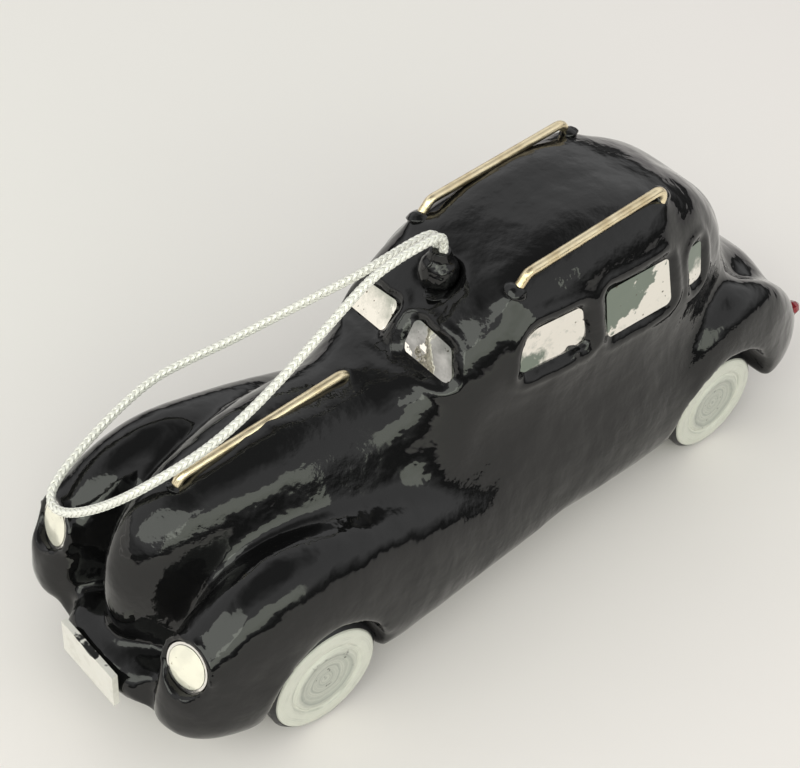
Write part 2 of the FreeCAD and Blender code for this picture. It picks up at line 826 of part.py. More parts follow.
def knob():
    """An onion-shaped knob with a short neck, its foot in a flat seat in the roof."""
    rise = size("knob_height")
    outline = [
        (size("knob_base_radius"), 0),
        (size("knob_radius"), BULGE_RISE * rise),
        (SHOULDER_SHARE * size("knob_radius"), SHOULDER_RISE * rise),
        (size("knob_neck_radius") * NECK_SHARE, NECK_RISE * rise),
        (size("knob_neck_radius"), rise),
    ]
    flank = Part.BSplineCurve()
    flank.interpolate([Vector(radius, 0, height) for radius, height in outline])
    foot = Part.makeLine(Vector(0, 0, 0), Vector(outline[0][0], 0, 0))
    crown = Part.makeLine(Vector(outline[-1][0], 0, rise), Vector(0, 0, rise))
    spine = Part.makeLine(Vector(0, 0, rise), Vector(0, 0, 0))
    section = Part.Face(Part.Wire([foot, flank.toShape(), crown, spine]))
    shape = section.revolve(Vector(0, 0, 0), Vector(0, 0, 1), 360)
    where = Vector(size("knob_x"), 0, size("knob_base"))
    return feature("hanging_knob", shape, Placement(where, Rotation()))


CORD_ROUTE = [
    (8.4, -0.9, 60.6), (8.4, -0.9, 62.4), (9.9, -1.2, 63.4), (13.2, -1.7, 62.8),
    (17.2, -2.5, 61.3), (21.4, -4.7, 58.2), (25.6, -7.7, 54.8), (30.6, -11.7, 50.2),
    (36.4, -15.4, 45.8), (42.2, -18.7, 42.4), (47.4, -20.5, 40.2), (53.0, -20.6, 37.9),
    (58.4, -20.3, 35.3), (63.0, -19.6, 33.1), (66.6, -18.7, 31.5), (69.0, -17.4, 30.4),
    (69.9, -15.3, 29.9), (69.4, -12.6, 30.6), (67.9, -9.5, 32.6), (65.7, -6.2, 35.5),
    (63.0, -3.0, 39.1), (59.6, -0.7, 42.2), (55.3, 0.5, 44.2), (50.6, 0.7, 45.6),
    (45.2, 0.7, 47.9), (39.4, 0.5, 50.9), (33.0, 0.3, 54.9), (27.0, 0.2, 58.9),
    (22.2, 0.3, 62.0), (17.6, 0.7, 63.6), (13.2, 1.0, 64.3), (9.9, 0.9, 64.3),
    (8.4, 0.7, 62.7), (8.4, 0.7, 60.6),
]


def cord():
    path, radii = rounded_path(CORD_ROUTE)
    shape = tube(path, size("cord_radius"))
    expected = math.pi * size("cord_radius") ** 2 * path.Length
    print("cord length", round(path.Length, 1), "radii", radii)
    print("cord volume", round(shape.Volume, 2), "section times length", round(expected, 2))
    return feature("cord_loop", shape)


# Tail lamps: rings of a bead, each a share of its length and of its radius

TAIL_LAMP_RINGS = ((0, 0.72), (0.4, 1.0), (0.7, 0.86), (1.0, 0.4))
TAIL_LAMP_SIDES = 8
TAIL_PROBE = 20


def tail_lamp(side):
    """A faceted bead on the flat floor of a shallow seat in the rear wing."""
    name = side_name(side)
    y, z = side * size("tail_lamp_y"), size("tail_lamp_z")
    radius, length = size("tail_lamp_radius"), size("tail_lamp_length")
    level = Part.makeLine(Vector(tail_x - TAIL_PROBE, y, z), Vector(0, y, z))
    surface = level.common(skin.Shape).BoundBox.XMin
    rings = []
    for along, share in TAIL_LAMP_RINGS:
        angles = [2 * math.pi * n / TAIL_LAMP_SIDES for n in range(TAIL_LAMP_SIDES + 1)]
        corners = [
            Vector(-along * length, radius * share * math.cos(a), radius * share * math.sin(a))
            for a in angles
        ]
        rings.append(Part.makePolygon(corners))
    bead_shape = Part.makeLoft(rings, True, True)
    where = Placement(Vector(surface + size("tail_lamp_sink"), y, z), Rotation())
    lamp = feature(f"tail_lamp_{name}", bead_shape, where)
    seat = cylinder(f"tail_lamp_seat_{name}", "$tail_lamp_radius + $pane_clearance", "$seat_depth")
    seat.Placement = Placement(where.Base, Rotation(Vector(0, 1, 0), -90))
    return lamp, seat


# Build every piece

exported, cutters, added = [], [], []
for name, side in SIDES.items():
    disc, rim, collar, seat = headlamp(side)
    exported += [disc, rim]
    added.append(collar)
    cutters.append(seat)
    for end in ("front", "rear"):
        exported += wheel(end, side)
        cutters.append(wheel_well(end, side))
    for kind, title in (("screen", "windscreen"), ("door", "door_window"),
                        ("load", "load_window"), ("quarter", "quarter_window")):
        pane, recess = window(kind, side, f"{title}_{name}")
        exported.append(pane)
        cutters.append(recess)
    points = rail_points(side)
    rail, groove = rod(f"roof_rail_{name}", points)
    exported.append(rail)
    cutters.append(groove)
    added.append(bead(f"rail_foot_front_{name}", points[0][0] - size("rail_foot_shift"), points[0][1],
                      "$rail_foot_radius", "$rail_foot_height"))
    added.append(bead(f"rail_foot_rear_{name}", points[3][0], points[3][1],
                      "$rail_foot_radius", "$rail_foot_height"))
    lamp, seat = tail_lamp(side)
    exported.append(lamp)
    cutters.append(seat)
for end in ("front", "rear"):
    exported.append(axle(end))
    cutters.append(axle_bore(end))
pane, recess = window("rear", 1, "rear_window")
exported.append(pane)
cutters.append(recess)
points = bonnet_rod_points()
bonnet_rod, groove = rod("bonnet_rod", points)
exported.append(bonnet_rod)
cutters.append(groove)
added.append(bead("bonnet_bead", points[3][0], 0, "$bonnet_bead_radius",
                  "$bonnet_bead_radius"))
exported += [knob(), cord()]

knob_seat = cylinder("knob_seat", "$knob_radius + $knob_fit", "$knob_seat_depth")
place(knob_seat, "$knob_x", "0", "$knob_base")
cutters.append(knob_seat)

PLATE_SEAT = "$wheelbase / 2 + $front_overhang - $plate_sink"
plate = box("front_plate", "$plate_thickness", "$plate_width", "$plate_height")
place(plate, PLATE_SEAT, "-$plate_width / 2", "$plate_middle - $plate_height / 2")
exported.append(plate)
plate_seat = box("plate_seat", "$plate_seat_depth", "$plate_width + $plate_seat_side",
                 "$plate_height + $plate_seat_tall")
place(plate_seat, PLATE_SEAT, "-($plate_width + $plate_seat_side) / 2",
      "$plate_middle - $plate_height / 2 - $plate_seat_tall / 2")
cutters.append(plate_seat)

ground = box("ground_cut", "$underside_cut_length", "$underside_cut_width", "$underside_cut_depth")
place(ground, "-$underside_cut_length / 2", "-$underside_cut_width / 2",
      "$ground_clearance - $underside_cut_depth")
cutters.append(ground)
tail_cut = box("tail_cut", "$tail_cut_length", "$underside_cut_width", "$underside_cut_depth")
place(tail_cut, "-$wheelbase / 2 - $wheel_radius * $tail_cut_start - $tail_cut_length",
      "-$underside_cut_width / 2", "$tail_clearance - $underside_cut_depth")
cutters.append(tail_cut)

for name, side in SIDES.items():
    screen = box(f"screen_cut_{name}", "$screen_cut_length", "$screen_cut_side",
                 "$screen_cut_side")
    rake = Rotation(Vector(0, 1, 0), -size("screen_rake"))
    sweep = Rotation(Vector(0, 0, 1), side * size("screen_sweep"))
    turn = sweep.multiply(rake)
    overlap = size("screen_cut_overlap")
    start = -overlap if side > 0 else overlap - size("screen_cut_side")
    corner = turn.multVec(Vector(0, start, 0))
    screen.Placement = Placement(Vector(size("screen_foot_x"), 0, size("cowl_height")) + corner, turn)
    cutters.append(screen)

document.recompute()

moulded = joined("moulded", [skin] + added)
tools = joined("recesses", cutters)
body = cut("body", moulded, tools)
exported.append(body)
document.recompute()

for made in exported:
    made.Label = made.Name
for made in document.Objects:
    if {"Invalid", "Error"} & set(made.State):
        raise RuntimeError(f"{made.Name} failed to recompute")
for made in exported:
    if made.Shape.isNull() or not made.Shape.isValid():
        raise RuntimeError(f"{made.Name} has no valid shape")

os.makedirs("parts", exist_ok=True)
for made in exported:
    made.Shape.exportStep(f"parts/{made.Label}.step")
    box_now = made.Shape.BoundBox
    print(made.Label, len(made.Shape.Solids), round(made.Shape.Volume, 1),
          [round(v, 1) for v in (box_now.XMin, box_now.XMax, box_now.YMin, box_now.YMax,
                                 box_now.ZMin, box_now.ZMax)])
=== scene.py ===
import math

import bpy
import bmesh
import numpy as np
from mathutils import Matrix, Vector, noise


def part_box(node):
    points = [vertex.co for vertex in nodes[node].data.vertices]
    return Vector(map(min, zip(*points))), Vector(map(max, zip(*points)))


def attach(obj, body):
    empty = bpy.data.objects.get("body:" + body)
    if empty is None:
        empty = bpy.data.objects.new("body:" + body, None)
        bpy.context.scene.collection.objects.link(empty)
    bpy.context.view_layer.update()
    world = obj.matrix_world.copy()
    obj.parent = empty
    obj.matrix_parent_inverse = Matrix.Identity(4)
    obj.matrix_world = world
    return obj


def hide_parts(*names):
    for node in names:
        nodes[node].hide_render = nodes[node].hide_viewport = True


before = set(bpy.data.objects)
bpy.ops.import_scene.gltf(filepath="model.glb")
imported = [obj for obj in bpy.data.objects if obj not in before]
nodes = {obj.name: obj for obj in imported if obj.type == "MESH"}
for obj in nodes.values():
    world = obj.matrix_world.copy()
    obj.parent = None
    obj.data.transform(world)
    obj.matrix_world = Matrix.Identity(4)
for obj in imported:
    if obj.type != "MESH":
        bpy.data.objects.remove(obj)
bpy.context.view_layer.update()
MM = 0.001

# Shader helpers


class Shader:
    """A material's node tree, with short calls for the nodes that the finishes share."""

    def __init__(self, name):
        self.material = bpy.data.materials.new(name)
        self.material.use_nodes = True
        self.tree = self.material.node_tree
        self.surface = self.tree.nodes["Principled BSDF"]
        coordinates = self.tree.nodes.new("ShaderNodeTexCoord")
        self.place = coordinates.outputs["Object"]

    def set(self, **values):
        """Constants on the surface's own sockets, each named with _ for a space."""
        for name, value in values.items():
            self.surface.inputs[name.replace("_", " ")].default_value = value

    def link(self, output, socket):
        self.tree.links.new(output, self.surface.inputs[socket])

    def node(self, kind, inputs=None, **settings):
        """A new node, its inputs given as sockets to link or as plain values."""
        made = self.tree.nodes.new(kind)
        for name, value in settings.items():
            setattr(made, name, value)
        for name, value in (inputs or {}).items():
            if isinstance(value, bpy.types.NodeSocket):
                self.tree.links.new(value, made.inputs[name])
            else:
                made.inputs[name].default_value = value
        return made

    def noise(self, scale, detail=2.0, roughness=0.5, distortion=0.0, place=None):
        made = self.node("ShaderNodeTexNoise", {
            "Vector": place or self.place, "Scale": scale, "Detail": detail,
            "Roughness": roughness, "Distortion": distortion,
        })
        return made.outputs["Fac"]

    def range(self, value, low, high, to_low=0.0, to_high=1.0):
        """A value between low and high, stretched to a new range and held inside it."""
        made = self.node("ShaderNodeMapRange", {
            "Value": value, "From Min": low, "From Max": high, "To Min": to_low, "To Max": to_high,
        })
        made.clamp = True
        return made.outputs["Result"]

    def math(self, operation, first, second=0.0):
        return self.node("ShaderNodeMath", {0: first, 1: second}, operation=operation).outputs[0]

    def mix(self, factor, first, second):
        """A colour between two, each a socket or a colour."""
        made = self.node("ShaderNodeMix", data_type="RGBA")
        sockets = [s for s in made.inputs if s.type == "RGBA"]
        for socket, value in zip(sockets, (first, second)):
            if isinstance(value, bpy.types.NodeSocket):
                self.tree.links.new(value, socket)
            else:
                socket.default_value = value
        if isinstance(factor, bpy.types.NodeSocket):
            self.tree.links.new(factor, made.inputs["Factor"])
        else:
            made.inputs["Factor"].default_value = factor
        return [s for s in made.outputs if s.type == "RGBA"][0]

    def bumps(self, *layers):
        """Bump from several heights, each given as a socket and its depth in metres."""
        normal = None
        for height, depth in layers:
            inputs = {"Height": height, "Distance": depth, "Strength": 1.0}
            if normal is not None:
                inputs["Normal"] = normal
            normal = self.node("ShaderNodeBump", inputs).outputs["Normal"]
        self.link(normal, "Normal")


def rgb(red, green, blue):
    return (red, green, blue, 1.0)


# Finishes

def lacquer():
    """Thick black lacquer, uneven at two sizes, with fine wrinkles in patches."""
    s = Shader("black lacquer")
    s.set(Base_Color=rgb(0.004, 0.004, 0.0042), Specular_IOR_Level=0.42, IOR=1.5)
    broad = s.noise(85, 2.0, 0.5)
    wavy = s.noise(300, 2.0, 0.5, 0.2)
    patches = s.range(s.noise(55, 1.0), 0.46, 0.6)
    wrinkles = s.math("MULTIPLY", s.noise(900, 2.0, 0.55), patches)
    s.link(s.range(s.noise(110, 3.0), 0.35, 0.7, 0.04, 0.13), "Roughness")
    s.bumps((broad, 0.0008), (wavy, 0.00015), (wrinkles, 0.00006))
    return s.material


def black_tread():
    """Satin black of the tyres."""
    s = Shader("black tread")
    s.set(Base_Color=rgb(0.008, 0.008, 0.009))
    s.link(s.range(s.noise(900, 3.0), 0.3, 0.7, 0.25, 0.5), "Roughness")
    s.bumps((s.noise(1400, 3.0), 0.00006))
    return s.material


def turned_rings(s, centre_x, centre_z):
    """Distance from a wheel's axis, for rings and brush marks round it."""
    split = s.node("ShaderNodeSeparateXYZ", {0: s.place})
    across = s.math("SUBTRACT", split.outputs["X"], centre_x)
    up = s.math("SUBTRACT", split.outputs["Z"], centre_z)
    squares = s.math("ADD", s.math("MULTIPLY", across, across), s.math("MULTIPLY", up, up))
    return s.math("SQRT", squares)


def wheel_paint(name, centre_x, centre_z):
    """White brushed on in turns: clean at the rim, thin and grey over the hub."""
    s = Shader(name)
    radius = turned_rings(s, centre_x, centre_z)
    wobble = s.math("MULTIPLY", s.noise(150, 2.0), 0.0016)
    swept = s.math("ADD", radius, wobble)
    lined = s.node("ShaderNodeCombineXYZ", {"X": swept}).outputs[0]
    brush = s.noise(1500, 3.0, 0.6, place=lined)
    hub = s.range(radius, 5.0 * MM, 6.0 * MM, 1.0, 0.0)
    cloud = s.range(s.noise(300, 3.0), 0.42, 0.62)
    rim_streaks = s.math("MULTIPLY", s.range(brush, 0.5, 0.62), s.math("MULTIPLY", cloud, 0.5))
    hub_streaks = s.range(brush, 0.36, 0.6, 0.25, 1.0)
    shade = s.mix(hub, rim_streaks, hub_streaks)
    nicks = s.math("MULTIPLY", s.range(s.noise(900, 2.0), 0.68, 0.72), hub)
    colour = s.mix(shade, rgb(0.58, 0.58, 0.52), rgb(0.32, 0.33, 0.30))
    s.link(s.mix(nicks, colour, rgb(0.10, 0.10, 0.09)), "Base Color")
    s.link(s.range(brush, 0.3, 0.7, 0.22, 0.42), "Roughness")
    s.bumps((brush, 0.00006), (s.noise(500, 2.0), 0.00005))
    return s.material


def mirror(name, node, forward, upward, bias, ragged, soft, buckle):
    """Silver foil with a painted grey-green reflection on one side, up to a ragged border.

    forward and upward say towards which side the painted reflection lies, and a higher bias
    leaves less of it. ragged and soft say how torn and how blurred its border is, and buckle
    how deep the foil buckles, in metres.
    """
    s = Shader(name)
    s.set(Metallic=1.0)
    low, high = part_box(node)
    split = s.node("ShaderNodeSeparateXYZ", {0: s.place})
    along = s.range(split.outputs["X"], low[0], high[0], -0.5 * forward, 0.5 * forward)
    above = s.range(split.outputs["Z"], low[2], high[2], -0.5 * upward, 0.5 * upward)
    torn = s.range(s.noise(210, 4.0, 0.6), 0.2, 0.8, -ragged, ragged)
    reach = s.math("ADD", s.math("ADD", along, above), torn)
    # Painted reflection: the room seen in the foil, painted grey-green over one side of the pane
    painted_reflection = s.range(reach, bias - soft, bias + soft)
    dull = s.range(s.noise(400, 4.0, 0.65), 0.56, 0.72, 0.0, 0.6)
    specks = s.range(s.noise(1100, 2.0, 0.5), 0.7, 0.74)
    colour = s.mix(dull, rgb(0.92, 0.89, 0.82), rgb(0.55, 0.56, 0.51))
    # The painted reflection's grey-green over the foil's own colour
    colour = s.mix(painted_reflection, colour, rgb(0.22, 0.26, 0.22))
    s.link(s.mix(specks, colour, rgb(0.12, 0.10, 0.07)), "Base Color")
    s.link(s.range(dull, 0.0, 1.0, 0.03, 0.14), "Roughness")
    s.bumps((s.noise(85, 2.0, 0.5), buckle), (s.noise(500, 2.0, 0.5), 0.00002))
    return s.material


def lamp_silver():
    """Pale milky foil with a few duller patches."""
    s = Shader("lamp silver")
    s.set(Metallic=0.35)
    dull = s.range(s.noise(260, 2.0), 0.5, 0.64, 0.0, 0.6)
    specks = s.range(s.noise(1100, 2.0, 0.5), 0.7, 0.74)
    colour = s.mix(dull, rgb(0.91, 0.88, 0.75), rgb(0.72, 0.70, 0.61))
    s.link(s.mix(specks, colour, rgb(0.30, 0.26, 0.18)), "Base Color")
    s.link(s.range(dull, 0.0, 0.6, 0.05, 0.2), "Roughness")
    s.bumps((s.noise(300, 2.0, 0.5), 0.0001))
    return s.material


def brass():
    """Pale drawn brass with faint stains."""
    s = Shader("pale brass")
    s.set(Metallic=1.0)
    stretched = s.node("ShaderNodeMapping", {0: s.place, "Scale": (0.04, 1.0, 1.0)}).outputs[0]
    drawn = s.noise(4000, 2.0, 0.5, place=stretched)
    stain = s.range(s.noise(330, 3.0), 0.45, 0.75)
    colour = s.mix(stain, rgb(0.92, 0.80, 0.55), rgb(0.66, 0.53, 0.32))
    s.link(colour, "Base Color")
    s.link(s.range(drawn, 0.3, 0.7, 0.2, 0.42), "Roughness")
    s.bumps((drawn, 0.00003), (s.noise(700, 2.0), 0.00002))
    return s.material


def wire():
    """Dull steel of the axles."""
    s = Shader("plain wire")
    s.set(Metallic=1.0, Base_Color=rgb(0.5, 0.5, 0.5))
    s.link(s.range(s.noise(900, 3.0), 0.3, 0.7, 0.25, 0.5), "Roughness")
    return s.material


def bright_rim():
    """Bright metal of the lamp rims."""
    s = Shader("bright rim")
    s.set(Metallic=1.0, Base_Color=rgb(0.86, 0.84, 0.80))
    s.link(s.range(s.noise(700, 2.0), 0.3, 0.7, 0.08, 0.25), "Roughness")
    s.bumps((s.noise(900, 2.0), 0.00004))
    return s.material


# The lacquer on the front plate: its start above the plate's top, the width of its blurred
# edge, and the most that its ragged edge reaches down from there
PAINT_EDGE = 1.65 * MM
PAINT_BLUR = 0.15 * MM
PAINT_RAGGED = 3.6 * MM


def plate_white():
    """Off-white card, with lacquer brushed over its upper edge."""
    s = Shader("off-white plate")
    split = s.node("ShaderNodeSeparateXYZ", {0: s.place})
    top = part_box("front_plate")[1][2]
    ragged = s.math("MULTIPLY", s.noise(260, 3.0, 0.55), PAINT_RAGGED)
    reach = s.math("ADD", split.outputs["Z"], ragged)
    over = s.range(reach, top + PAINT_EDGE, top + PAINT_EDGE + PAINT_BLUR)
    grime = s.range(s.noise(500, 4.0, 0.6), 0.5, 0.8)
    pale = s.mix(grime, rgb(0.80, 0.78, 0.73), rgb(0.66, 0.64, 0.58))
    s.link(s.mix(over, pale, rgb(0.01, 0.01, 0.01)), "Base Color")
    s.set(Metallic=0.35)
    s.link(s.range(s.noise(800, 2.0), 0.3, 0.7, 0.28, 0.5), "Roughness")
    s.bumps((s.noise(260, 2.0), 0.0001), (grime, 0.00003))
    return s.material


def red_bead():
    """Deep red glassy bead."""
    s = Shader("red bead")
    deep = s.range(s.noise(900, 2.0), 0.35, 0.7)
    s.link(s.mix(deep, rgb(0.26, 0.005, 0.012), rgb(0.12, 0.002, 0.006)), "Base Color")
    s.set(Roughness=0.12, Coat_Weight=0.4, Coat_Roughness=0.05)
    s.bumps((s.noise(1500, 2.0), 0.00002))
    return s.material


def braid_thread():
    """Pale silvery thread."""
    s = Shader("silver braid")
    fine = s.noise(5000, 2.0, 0.5)
    s.link(s.mix(s.range(fine, 0.35, 0.7), rgb(0.88, 0.87, 0.82), rgb(0.74, 0.73, 0.67)),
           "Base Color")
    s.set(Metallic=0.25, Sheen_Weight=0.2)
    s.link(s.range(fine, 0.3, 0.7, 0.28, 0.45), "Roughness")
    s.bumps((fine, 0.000008))
    return s.material


LACQUER = lacquer()
LAMP_DISC = lamp_silver()
BRASS = brass()

# Finishes and mirrors, each by the start of the names of its pieces
FINISHES = {
    "front_plate": plate_white(),
    "bonnet_rod": BRASS,
    "tyre": black_tread(),
    "roof_rail": BRASS,
    "axle": wire(),
    "headlamp_rim": bright_rim(),
    "tail_lamp": red_bead(),
}
# Each pane's painted reflection: towards which side it lies, its border, and the foil's buckle
MIRRORS = {
    "windscreen": dict(node="windscreen_left", forward=0.0, upward=1.0, bias=0.42, ragged=0.5,
                       soft=0.42, buckle=0.0006),
    "door_window": dict(node="door_window_left", forward=0.8, upward=-0.7, bias=0.42, ragged=0.9,
                        soft=0.16, buckle=0.0004),
    "load_window": dict(node="load_window_left", forward=0.9, upward=0.7, bias=0.08, ragged=0.5,
                        soft=0.03, buckle=0.0004),
    "quarter_window": dict(node="quarter_window_left", forward=0.2, upward=1.0, bias=-0.12,
                           ragged=0.5, soft=0.12, buckle=0.0004),
    "rear_window": dict(node="rear_window", forward=0.0, upward=1.0, bias=0.1, ragged=0.5,
                        soft=0.2, buckle=0.0004),
}
for start, look in MIRRORS.items():
    FINISHES[start] = mirror(f"{start.split('_')[0]} silver", **look)


def paint(piece, material):
    piece.data.materials.clear()
    piece.data.materials.append(material)


for name, piece in nodes.items():
    for start, finish in FINISHES.items():
        if name.startswith(start):
            paint(piece, finish)


# The lacquered body: the moulding with its joins softened and its windows framed

SKIN_VOXEL = 0.55 * MM
KNOB_VOXEL = 0.2 * MM


def mesh_copy(node, name):
    piece = bpy.data.objects.new(name, nodes[node].data.copy())
    bpy.context.scene.collection.objects.link(piece)
    return piece


def even_skin(piece, voxel):
    """Remesh a piece in even small faces."""
    remesh = piece.modifiers.new("even skin", "REMESH")
    remesh.mode = "VOXEL"
    remesh.voxel_size = voxel
    graph = bpy.context.evaluated_depsgraph_get()
    mesh = bpy.data.meshes.new_from_object(piece.evaluated_get(graph))
    piece.modifiers.clear()
    piece.data = mesh


def shade_smooth(mesh):
    for face in mesh.polygons:
        face.use_smooth = True


def vertices_of(mesh):
    """Places of a mesh's vertices, one row each."""
    flat = np.empty(len(mesh.vertices) * 3)
    mesh.vertices.foreach_get("co", flat)
    return flat.reshape(-1, 3)


SOFTENING_STEP = 0.5


def soften(mesh, weight, passes):
    """Move each vertex towards its neighbours' middle, by its own weight, many times."""
    ends = np.empty(len(mesh.edges) * 2, dtype=np.int64)
    mesh.edges.foreach_get("vertices", ends)
    first, second = ends[0::2], ends[1::2]
    place = vertices_of(mesh)
    count = len(place)
    near = np.bincount(first, minlength=count) + np.bincount(second, minlength=count)
    near = np.maximum(near, 1)[:, None]
    for _ in range(passes):
        total = np.stack([
            np.bincount(first, place[second, k], count)
            + np.bincount(second, place[first, k], count)
            for k in range(3)
        ], axis=1)
        place += (total / near - place) * (SOFTENING_STEP * weight[:, None])
    mesh.vertices.foreach_set("co", place.ravel())
    mesh.update()


def ramp(value, low, high):
    """0 below low and 1 above high, with a smooth rise between."""
    share = np.clip((value - low) / (high - low), 0.0, 1.0)
    return share * share * (3 - 2 * share)


def broad_normal(node):
    """Direction of the broadest face of a piece's CAD solid."""
    return Vector(max(nodes[node].data.polygons, key=lambda face: face.area).normal)


CABIN_MIDDLE = Vector((-0.015, 0, 0.03))


def pane_frame(node):
    """A pane's middle and outward direction, read from its CAD solid."""
    vertices = nodes[node].data.vertices
    outward = broad_normal(node)
    middle = sum((v.co for v in vertices), Vector()) / len(vertices)
    if outward.dot(middle - CABIN_MIDDLE) < 0:
        outward.negate()
    return middle, outward


PANES = [n for n in nodes if "window" in n or n.startswith("windscreen")]


def distance_outside(place, node):
    """How far each point lies outside a pane's outline, measured in the pane's plane.

    It is negative inside. How far each point lies in front of the pane and the pane's outward
    direction are given too.
    """
    middle, outward = pane_frame(node)
    up = Vector((0, 0, 1))
    across = up.cross(outward).normalized()
    upward = outward.cross(across)
    local = place - np.array(middle)
    u, v = local @ np.array(across), local @ np.array(upward)
    depth = local @ np.array(outward)
    corners = [(c.dot(across), c.dot(upward)) for c in
               (vert.co - middle for vert in nodes[node].data.vertices)]
    hull = outline(corners)
    best = np.full(len(place), np.inf)
    inside = np.ones(len(place), dtype=bool)
    for (u0, v0), (u1, v1) in zip(hull, hull[1:] + hull[:1]):
        du, dv = u1 - u0, v1 - v0
        length = max(du * du + dv * dv, 1e-18)
        share = np.clip(((u - u0) * du + (v - v0) * dv) / length, 0, 1)
        best = np.minimum(best, np.hypot(u - u0 - share * du, v - v0 - share * dv))
        inside &= (du * (v - v0) - dv * (u - u0)) >= 0
    return np.where(inside, -best, best), depth, outward


def outline(points):
    """The convex outline of flat points, anticlockwise, to a tenth of a micrometre."""
    points = sorted(set((round(u, 7), round(v, 7)) for u, v in points))

    def half(row):
        kept = []
        for p in row:
            while len(kept) > 1 and (
                (kept[-1][0] - kept[-2][0]) * (p[1] - kept[-2][1])
                - (kept[-1][1] - kept[-2][1]) * (p[0] - kept[-2][0])
            ) <= 0:
                kept.pop()
            kept.append(p)
        return kept

    return half(points)[:-1] + half(points[::-1])[:-1]


ROD_END = 1.2 * MM


def rod_ends(node):
    """The middles of a rod's foremost and rearmost ends."""
    place = vertices_of(nodes[node].data)
    tips = place[:, 0].max(), place[:, 0].min()
    return [place[np.abs(place[:, 0] - tip) < ROD_END].mean(axis=0) for tip in tips]


# Small forms that keep their edges, with how far round each, in millimetres
CRISP_NODES = {
    "headlamp_rim_left": 2.5, "headlamp_rim_right": 2.5, "front_plate": 2.0,
    "tail_lamp_left": 1.5, "tail_lamp_right": 1.5, "hanging_knob": 1.2,
    "tyre_front_left": 2.0, "tyre_front_right": 2.0, "tyre_rear_left": 2.6, "tyre_rear_right": 2.6,
}

# Where the crispness begins to fade and where it ends: in shares of that distance, from a
# pane's edge, and from the middle of an over-rider
CRISP_FADE = (0.5, 1.6)
PANE_FADE = (0.4 * MM, 3.0 * MM)
OVERRIDER_FADE = (4.5 * MM, 7.5 * MM)

# The left over-rider in millimetres, and how crisp both are
OVERRIDER = (72.0, 11.0, 14.5)
OVERRIDER_SHARE = 0.9

# How far in front of or behind a pane the skin still belongs to it, and a distance past all
PANE_DEPTH = 6 * MM
FAR_AWAY = 1.0

# Passes over the whole skin, passes by crispness, and how much full crispness holds back
EVENING_PASSES = 3
SOFTENING_PASSES = 55
KEPT_SHARE = 0.93


def lacquered_body():
    """The moulding with soft joins, as under many coats, but crisp round its small forms."""
    body = mesh_copy("body", "lacquered_body")
    even_skin(body, SKIN_VOXEL)
    mesh = body.data
    place = vertices_of(mesh)
    crisp = np.zeros(len(place))
    for node in PANES:
        outside, depth, _ = distance_outside(place, node)
        reach = np.where(np.abs(depth) < PANE_DEPTH, outside, FAR_AWAY)
        crisp = np.maximum(crisp, 1 - ramp(reach, *PANE_FADE))
    for node, margin in CRISP_NODES.items():
        low, high = (np.array(corner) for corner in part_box(node))
        away = np.linalg.norm(np.maximum(np.maximum(low - place, place - high), 0), axis=1)
        fade = (share * margin * MM for share in CRISP_FADE)
        crisp = np.maximum(crisp, 1 - ramp(away, *fade))
    for side in (1, -1):
        spot = np.array((OVERRIDER[0], side * OVERRIDER[1], OVERRIDER[2]))
        away = np.linalg.norm(place - spot * MM, axis=1)
        crisp = np.maximum(crisp, OVERRIDER_SHARE * (1 - ramp(away, *OVERRIDER_FADE)))
    soften(mesh, np.ones(len(place)), EVENING_PASSES)
    soften(mesh, 1 - KEPT_SHARE * crisp, SOFTENING_PASSES)
    shape_surface(mesh)
    shade_smooth(mesh)
    paint(body, LACQUER)
    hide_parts("body")
    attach(body, "car")
    return body


def bell(distance, centre, width):
    """1 at the centre, falling smoothly to nothing on either side."""
    return np.exp(-(((distance - centre) / width) ** 2))


# A frame's height, distance from the pane's edge and width, and the same of the dip inside it
FRAME_HEIGHT, FRAME_OUT, FRAME_WIDTH = 0.26 * MM, 1.9 * MM, 0.8 * MM
DIP_DEPTH, DIP_OUT, DIP_WIDTH = 0.30 * MM, 0.3 * MM, 0.7 * MM

# How squarely the skin has to face the way a pane does to be framed
FACING = 0.3

# The waves of the coat: how many to a metre, and how high
WAVES = ((110, 0.16 * MM), (260, 0.05 * MM))


def shape_surface(mesh):
    """Raised rounded frames round the windows and the slow unevenness of a brushed coat."""
    place = vertices_of(mesh)
    normal = np.empty(len(mesh.vertices) * 3)
    mesh.vertices.foreach_get("normal", normal)
    normal = normal.reshape(-1, 3)
    lift = np.zeros(len(place))
    for node in PANES:
        outside, depth, outward = distance_outside(place, node)
        near = (np.abs(depth) < PANE_DEPTH) & (normal @ np.array(outward) > FACING)
        raised = FRAME_HEIGHT * bell(outside, FRAME_OUT, FRAME_WIDTH)
        eased = DIP_DEPTH * bell(outside, DIP_OUT, DIP_WIDTH)
        lift += np.where(near, raised - eased, 0.0)
    waves = np.array([
        sum(noise.noise(Vector(p) * count) * height for count, height in WAVES) for p in place
    ])
    place += normal * (lift + waves)[:, None]
    mesh.vertices.foreach_set("co", place.ravel())
    mesh.update()


BODY = lacquered_body()


def finished(mesh, name, material, body):
    """A smooth-shaded piece from a mesh, painted, riding on its body."""
    shade_smooth(mesh)
    piece = bpy.data.objects.new(name, mesh)
    bpy.context.scene.collection.objects.link(piece)
    paint(piece, material)
    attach(piece, body)
    return piece


# How far a seed moves the place in the noise that its lumps are drawn from
SEED_SHIFT = (3.1, 1.7, 1.0)

# Coarse and fine lumps: how many to a unit, and their share
LUMPS = ((1.3, 0.7), (3.4, 0.3))


def lumpy(point, seed):
    """Unevenness of a brushed-on lump, about 1 at most, at a point in its own size."""
    here = Vector(point) + Vector([seed * shift for shift in SEED_SHIFT])
    return sum(noise.noise(here * count) * share for count, share in LUMPS)


# A drop's lumps, how much wider it is at its foot, and how high that reaches, as shares
DROP_SWELL = 0.16
DROP_SKIRT = 0.12
SKIRT_HEIGHT = 0.3


